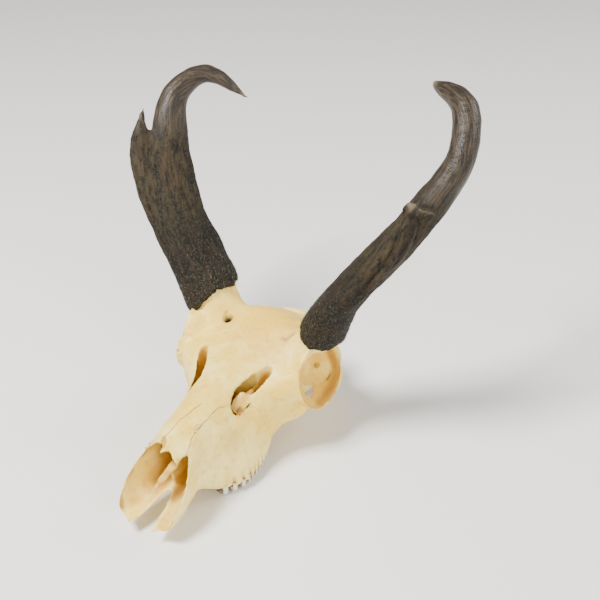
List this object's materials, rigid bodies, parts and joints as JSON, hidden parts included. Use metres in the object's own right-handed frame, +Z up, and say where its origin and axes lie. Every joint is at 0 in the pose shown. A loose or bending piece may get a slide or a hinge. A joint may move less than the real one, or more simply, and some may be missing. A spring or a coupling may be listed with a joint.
{
  "type": "pronghorn skull",
  "caption": "cleaned skull of a horned grazing animal without its lower jaw, with two black forked horn sheaths that curl inwards and upper cheek teeth that it rests on",
  "frame": {"origin": "on the table, under the middle of the box that holds the whole skull with its horns", "axes": "-Y is the way the muzzle points, +X is the animal's left side, +Z is up from the table"},
  "size_m": [0.3058, 0.3377, 0.299],
  "materials": {
    "bone": "dry bone, cream with ochre stains",
    "horn": "fibrous dark horn, worn smooth towards the tips",
    "tooth": "enamel with brown stain in the grooves"
  },
  "bodies": {
    "root": {"skull": "bone", "horn_sheath_left": "horn", "horn_sheath_right": "horn", "premolar_2_left": "tooth", "premolar_3_left": "tooth", "premolar_4_left": "tooth", "molar_1_left": "tooth", "molar_2_left": "tooth", "molar_3_left": "tooth", "premolar_2_right": "tooth", "premolar_3_right": "tooth", "premolar_4_right": "tooth", "molar_1_right": "tooth", "molar_2_right": "tooth", "molar_3_right": "tooth"}
  },
  "joints": []
}
